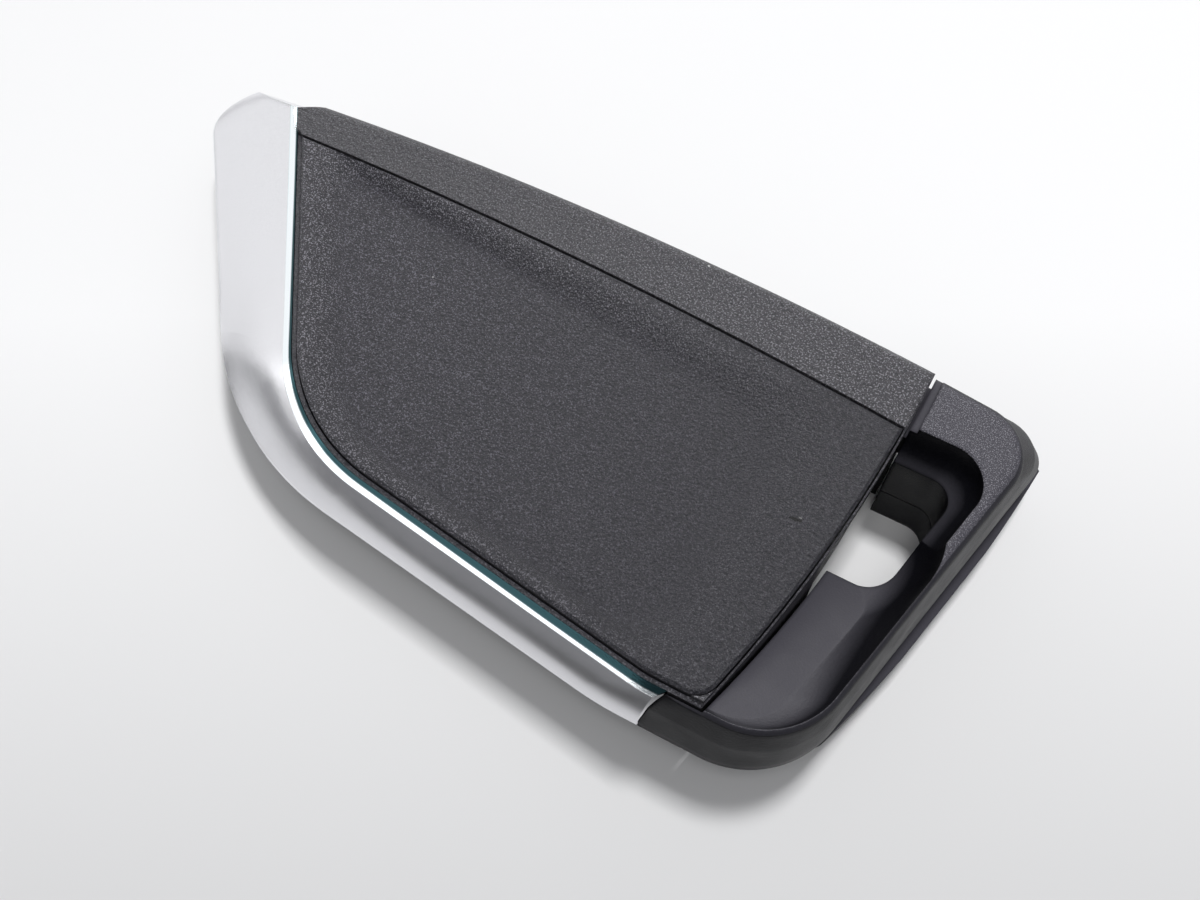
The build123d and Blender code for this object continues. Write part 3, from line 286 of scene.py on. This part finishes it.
def silver_trim():
    """Satin silver paint with a fine metallic grain, and a polished bevel along its crest coloured in bands
    as a painted reflection.
    """
    mat, nodes, links, shader, place = material("silver_trim")
    shader.inputs["Metallic"].default_value = 1.0
    at = axes(nodes, links, place)
    polish = spread(nodes, links, at["Z"], (POLISH_Z, POLISH_Z + POLISH_BLEND))
    up = spread(nodes, links, at["Z"], (POLISH_Z, CREST_Z))
    shift = spread(nodes, links, at["X"], PAINTED_REFLECTION_SHIFT_X, top=PAINTED_REFLECTION_SHIFT)
    # Painted reflection on the polished bevel.
    painted_reflection = ramp(nodes, links, maths(nodes, links, "ADD", up, shift), PAINTED_REFLECTION_STOPS, PAINTED_REFLECTION_TONES)
    grain = noise(nodes, links, place, PAINT_GRAIN)
    satin = ramp(nodes, links, grain, EVEN_STOPS, SATIN_TONES)
    links.new(mix(nodes, links, "RGBA", polish, satin, painted_reflection), shader.inputs["Base Color"])
    uneven = ramp(nodes, links, noise(nodes, links, place, PAINT_PATCH), EVEN_STOPS, SATIN_ROUGH)
    links.new(mix(nodes, links, "FLOAT", polish, uneven, POLISH_ROUGH), shader.inputs["Roughness"])
    end = spread(nodes, links, at["X"], SOFT_END_X, smooth=True)
    plain = nodes.new("ShaderNodeNewGeometry").outputs["Normal"]
    normal = mix(nodes, links, "VECTOR", end, plain, soft_normal(nodes, SOFT_END_RADIUS))
    rounder = bump(nodes, links, trim_swell(nodes, links, at), SWELL_DEPTH, normal)
    links.new(bump(nodes, links, grain, PAINT_DEPTH, rounder), shader.inputs["Normal"])
    return mat


# Each plastic: its dark and light tone, its roughness, and the grain and depth of its bump in mm.
PLASTICS = {
    "cover_plastic": ((0.019, 0.0185, 0.024), (0.044, 0.043, 0.052), 0.50, 0.27, 0.36),
    "grained_plastic": ((0.020, 0.0195, 0.024), (0.064, 0.062, 0.072), 0.48, 0.34, 0.30),
    "case_plastic": (0.004, 0.008, 0.46, 0.15, 0.012),
    "head_plastic": ((0.004, 0.004, 0.006), (0.008, 0.008, 0.011), 0.44, 0.20, 0.03),
    "panel_gloss": (0.006, 0.010, 0.12, 0.6, 0.001),
    "button_plastic": (0.010, 0.018, 0.40, 0.15, 0.010),
    "seal_rubber": (0.010, 0.016, 0.62, 0.2, 0.010),
    "board": ((0.012, 0.090, 0.040), (0.020, 0.130, 0.060), 0.3, 0.8, 0.006),
    "chip_plastic": (0.012, 0.020, 0.5, 0.1, 0.005),
    "ferrite": (0.035, 0.060, 0.55, 0.12, 0.010),
    "ceramic": ((0.30, 0.21, 0.12), (0.42, 0.30, 0.18), 0.45, 0.2, 0.004),
}
# Painted glints and sheen of the plastics: the heights and tints of their light specks, and their share
# from left to right.
COVER_PAINTED_GLINTS = {
    "heights": (13.9 * MM, 14.5 * MM),
    "tints": ((0.145, 0.139, 0.168), (0.27, 0.262, 0.295)),
    "shares": (1.0, 0.14),
}
STRIP_PAINTED_GLINTS = {
    "heights": (14.0 * MM, 15.0 * MM),
    "tints": ((0.05, 0.049, 0.056), (0.21, 0.206, 0.226)),
    "shares": (0.45, 1.0),
}
HEAD_PAINTED_GLINTS = {
    "heights": (14.3 * MM, 14.5 * MM),
    "tints": ((0.0, 0.0, 0.0), (0.20, 0.197, 0.215)),
    "shares": (1.0, 1.0),
}
# Light film on the head's up-facing faces: partly dust, partly painted sheen.
HEAD_DUST_AND_SHEEN = (0.058, 0.056, 0.066)
# Cover spots: the black row near x = 25 to 26 mm and the two light spots beside it paint a burr, as its
# painted shade and painted highlight.
COVER_SPOTS = [
    (-11.57, 5.90, 0.11, 0.40), (25.30, -0.60, 0.13, 0.0), (25.50, -0.57, 0.16, 0.0),
    (25.72, -0.55, 0.18, 0.0), (25.94, -0.53, 0.18, 0.0), (26.16, -0.52, 0.14, 0.0),
    (25.98, -0.28, 0.09, 0.18), (26.10, -0.27, 0.09, 0.20),
]
STRIP_SPOTS = [(9.4, 17.5, 0.13, 0.6)]
HEAD_SPOTS = [(31.5, 9.5, 0.13, 0.4)]
# Extras of some plastics; their glints are painted light, and so is part of the head's light film.
PLASTIC_EXTRAS = {
    "cover_plastic": {"level": 0.6, "painted_glints": COVER_PAINTED_GLINTS, "spots": COVER_SPOTS},
    "grained_plastic": {"level": 0.6, "painted_glints": STRIP_PAINTED_GLINTS, "spots": STRIP_SPOTS},
    "case_plastic": {"level": 0.1},
    "head_plastic": {
        "level": 0.14, "round_off": 0.5, "painted_glints": HEAD_PAINTED_GLINTS, "dust_and_sheen": HEAD_DUST_AND_SHEEN, "spots": HEAD_SPOTS,
    },
}
# Each metal: its colour, its roughness, and the stretch of its scratches along X, Y and Z.
METALS = {
    "plated_steel": ((0.66, 0.65, 0.62), 0.28, (1, 0.08, 1)),
    "blade_steel": ((0.60, 0.60, 0.58), 0.30, (0.05, 1, 1)),
    "copper": ((0.72, 0.36, 0.18), 0.32, (1, 1, 6)),
}
LOOKS = {name: moulded(name, *values, **PLASTIC_EXTRAS.get(name, {})) for name, values in PLASTICS.items()}
LOOKS.update({name: brushed(name, *values) for name, values in METALS.items()})
LOOKS["silver_trim"] = silver_trim()

slots = {part["node"]: part["material_slot"] for part in frame["record"]["subparts"]}
for node_name, piece in frame["nodes"].items():
    look = LOOKS[slots[node_name]]
    if not piece.material_slots:
        piece.data.materials.append(look)
    for material_slot in piece.material_slots:
        material_slot.material = look


# Printed symbols of the buttons, in mm: a runs across and b up, as the symbol is read.
SYMBOL_STROKE = 0.42
SYMBOL_PROUD = 0.03
SYMBOL_ROOT = 0.06
DISH_Z = 0.55
DISH_RADIUS = 60.0
BUTTON_Y = 0.5
BUTTON_X = {"unlock": -9.0, "lock": 3.5, "boot": 16.0}
PADLOCK_BODY = [(-1.7, -1.8, -0.2), (-1.5, -2.0, 0.0), (1.5, -2.0, 0.0), (1.7, -1.8, -0.2)]
SHACKLE_RADIUS = 1.05
SHACKLE_UP = 0.9
SHACKLE_FOOT = -0.05
OPEN_BODY = -0.9
OPEN_SHACKLE = 1.25
OPEN_FOOT = 0.4
CAR = [(-2.9, -0.9), (-2.9, 0.0), (-1.5, 0.4), (-0.7, 1.2), (1.2, 1.2), (2.1, 0.3), (2.8, 0.1), (2.8, -0.9)]
BOOT_LID = [(1.5, 1.45), (2.2, 2.2), (3.1, 2.1)]
WHEELS = [(-1.6, -1.1), (1.6, -1.1)]
WHEEL_RADIUS = 0.62
ARC_STEPS = 12
DISC_ENDS = (175, 5)


def put(name, data):
    """New object with this data, in the scene."""
    item = bpy.data.objects.new(name, data)
    bpy.context.scene.collection.objects.link(item)
    return item


def stroke(points, closed=False):
    """Pairs of points on the two sides of a line of even width."""
    pairs = []
    count = len(points)
    half = SYMBOL_STROKE / 2
    for i, (a, b) in enumerate(points):
        before = points[i - 1] if closed or i else (a, b)
        after = points[(i + 1) % count] if closed or i + 1 < count else (a, b)
        along = Vector((after[0] - before[0], after[1] - before[1])).normalized()
        pairs.append(((a - along.y * half, b + along.x * half), (a + along.y * half, b - along.x * half)))
    return pairs, closed


def arc(centre, radius, start, end):
    """Points along an arc, angles in degrees."""
    turns = [math.radians(start + (end - start) * i / ARC_STEPS) for i in range(ARC_STEPS + 1)]
    return [(centre[0] + radius * math.cos(t), centre[1] + radius * math.sin(t)) for t in turns]


def blot(outline):
    """Pairs of points that sweep across a filled shape, given as places with their low and high edge."""
    return [((a, low), (a, high)) for a, low, high in outline], False


def disc(centre, radius):
    """Filled round dot, swept from just inside its left end to just inside its right end."""
    return blot([(a, 2 * centre[1] - b, b) for a, b in arc(centre, radius, *DISC_ENDS)])


def padlock_body(a):
    """Filled body of a padlock round the place a."""
    return blot([(a + across, low, high) for across, low, high in PADLOCK_BODY])


def shackle(a, last_foot):
    """Bow of a padlock round the place a; its last leg ends at the height last_foot."""
    bow = arc((a, SHACKLE_UP), SHACKLE_RADIUS, 180, 0)
    return stroke([(a - SHACKLE_RADIUS, SHACKLE_FOOT), *bow, (a + SHACKLE_RADIUS, last_foot)])


def symbol(name, body, strips):
    """Thin printed symbol that follows the dish of a button; its top points to the silver end."""
    verts = []
    faces = []
    for pairs, closed in strips:
        base = len(verts)
        for pair in pairs:
            for a, b in pair:
                y = -a
                dish = DISH_Z - y * y / (2 * DISH_RADIUS)
                x = BUTTON_X[body] - b
                verts.append((x * MM, (BUTTON_Y + y) * MM, (dish - SYMBOL_PROUD) * MM))
                verts.append((x * MM, (BUTTON_Y + y) * MM, (dish + SYMBOL_ROOT) * MM))
        count = len(pairs)
        for i in range(count if closed else count - 1):
            p = base + 4 * i
            q = base + 4 * ((i + 1) % count)
            faces += [(p, p + 2, q + 2, q), (p + 1, q + 1, q + 3, p + 3)]
            faces += [(p, q, q + 1, p + 1), (p + 2, p + 3, q + 3, q + 2)]
        if not closed:
            last = base + 4 * (count - 1)
            faces += [(base, base + 1, base + 3, base + 2), (last, last + 2, last + 3, last + 1)]
    mesh = bpy.data.meshes.new(name)
    mesh.from_pydata(verts, [], faces)
    piece = put(name, mesh)
    mesh.materials.append(LOOKS["silver_trim"])
    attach(piece, body)


symbol("lock_symbol", "lock", [padlock_body(0.0), shackle(0.0, SHACKLE_FOOT)])
symbol("unlock_symbol", "unlock", [padlock_body(OPEN_BODY), shackle(OPEN_SHACKLE, OPEN_FOOT)])
wheels = [disc(centre, WHEEL_RADIUS) for centre in WHEELS]
symbol("boot_symbol", "boot", [stroke(CAR, True), stroke(BOOT_LID), *wheels])


# The view, in metres. The floor's tone follows Y turned by FLOOR_TURN, which runs up the picture; that tone
# is painted shade.
FLOOR_HALF = 3.0
FLOOR_Z = 0.0
FLOOR_TURN = -0.488
FLOOR_PAINTED_SHADE_Y = (-0.065, 0.035)
FLOOR_PAINTED_SHADE_STOPS = (0.0, 0.24, 0.8)
FLOOR_PAINTED_SHADE_TONES = ((0.10, 0.10, 0.10), (0.70, 0.70, 0.705), (0.95, 0.95, 0.955))
FLOOR_ROUGH = 0.8
# Each lamp: its place, its two sizes, its power in watts, and the kind of ray that misses it.
LAMPS = {
    "sun": ((0.036, 0.186, 0.724), (0.11, 0.11), 3.6, "visible_glossy"),
    "window": ((-0.130, 0.4545, 0.369), (0.42, 0.36), 3.8, "visible_diffuse"),
    "fill": ((0.07, -0.18, 0.68), (0.25, 0.25), 0.9, "visible_glossy"),
    "left": ((-0.478, 0.155, 0.224), (0.60, 0.43), 0.60, "visible_diffuse"),
    "curve": ((-0.4707, -0.1760, 0.2237), (0.244, 0.21), 0.14, "visible_diffuse"),
    "rim": ((-0.232, -0.373, 0.33), (0.58, 0.08), 0.18, "visible_diffuse"),
}
WORLD_COLOUR = (0.92, 0.93, 0.96, 1.0)
WORLD_STRENGTH = 0.25
CAMERA_PLACE = (0.0301, -0.0416, 0.11005)
CAMERA_TARGET = (0.00605, 0.00372, 0.0)
CAMERA_LENS = 39.0
CAMERA_SENSOR = 36.0
CAMERA_NEAR = 0.005


def aim(item, target):
    """Turns a lamp or a camera so that it looks at a target."""
    item.rotation_euler = (Vector(target) - item.location).to_track_quat("-Z", "Y").to_euler()


def stage_floor():
    """Flat pale floor with painted shade: darker down the picture, and dark beyond its lower edge as a
    painted stand-in for the unlit room on the camera's side.
    """
    corners = [(x * FLOOR_HALF, y * FLOOR_HALF, FLOOR_Z) for x, y in ((-1, -1), (1, -1), (1, 1), (-1, 1))]
    mesh = bpy.data.meshes.new("floor")
    mesh.from_pydata(corners, [], [(0, 1, 2, 3)])
    floor = put("floor", mesh)
    mat, nodes, links, shader, place = material("floor")
    turned = nodes.new("ShaderNodeMapping")
    turned.inputs["Rotation"].default_value = (0, 0, FLOOR_TURN)
    links.new(place, turned.inputs["Vector"])
    # Painted shade: the floor's tone darkens down the picture.
    up = spread(nodes, links, axes(nodes, links, turned.outputs["Vector"])["Y"], FLOOR_PAINTED_SHADE_Y)
    links.new(ramp(nodes, links, up, FLOOR_PAINTED_SHADE_STOPS, FLOOR_PAINTED_SHADE_TONES), shader.inputs["Base Color"])
    shader.inputs["Roughness"].default_value = FLOOR_ROUGH
    shader.inputs["Specular IOR Level"].default_value = 0.0
    mesh.materials.append(mat)


def area_light(name, place, size, power, unseen):
    """Soft rectangular lamp aimed at the object; unseen names the kind of ray that misses it."""
    data = bpy.data.lights.new(name, "AREA")
    data.shape = "RECTANGLE"
    data.size, data.size_y = size
    data.energy = power
    lamp = put(name, data)
    lamp.location = place
    aim(lamp, (0.0, 0.0, 0.0))
    setattr(lamp, unseen, False)


stage_floor()
for lamp_name, values in LAMPS.items():
    area_light(lamp_name, *values)

world = bpy.data.worlds.new("studio")
world.use_nodes = True
bpy.context.scene.world = world
background = world.node_tree.nodes["Background"]
background.inputs["Color"].default_value = WORLD_COLOUR
background.inputs["Strength"].default_value = WORLD_STRENGTH

camera_data = bpy.data.cameras.new("camera")
camera_data.lens = CAMERA_LENS
camera_data.sensor_width = CAMERA_SENSOR
camera_data.clip_start = CAMERA_NEAR
camera = put("camera", camera_data)
camera.location = CAMERA_PLACE
aim(camera, CAMERA_TARGET)
bpy.context.scene.camera = camera
bpy.context.scene.view_settings.view_transform = "Standard"
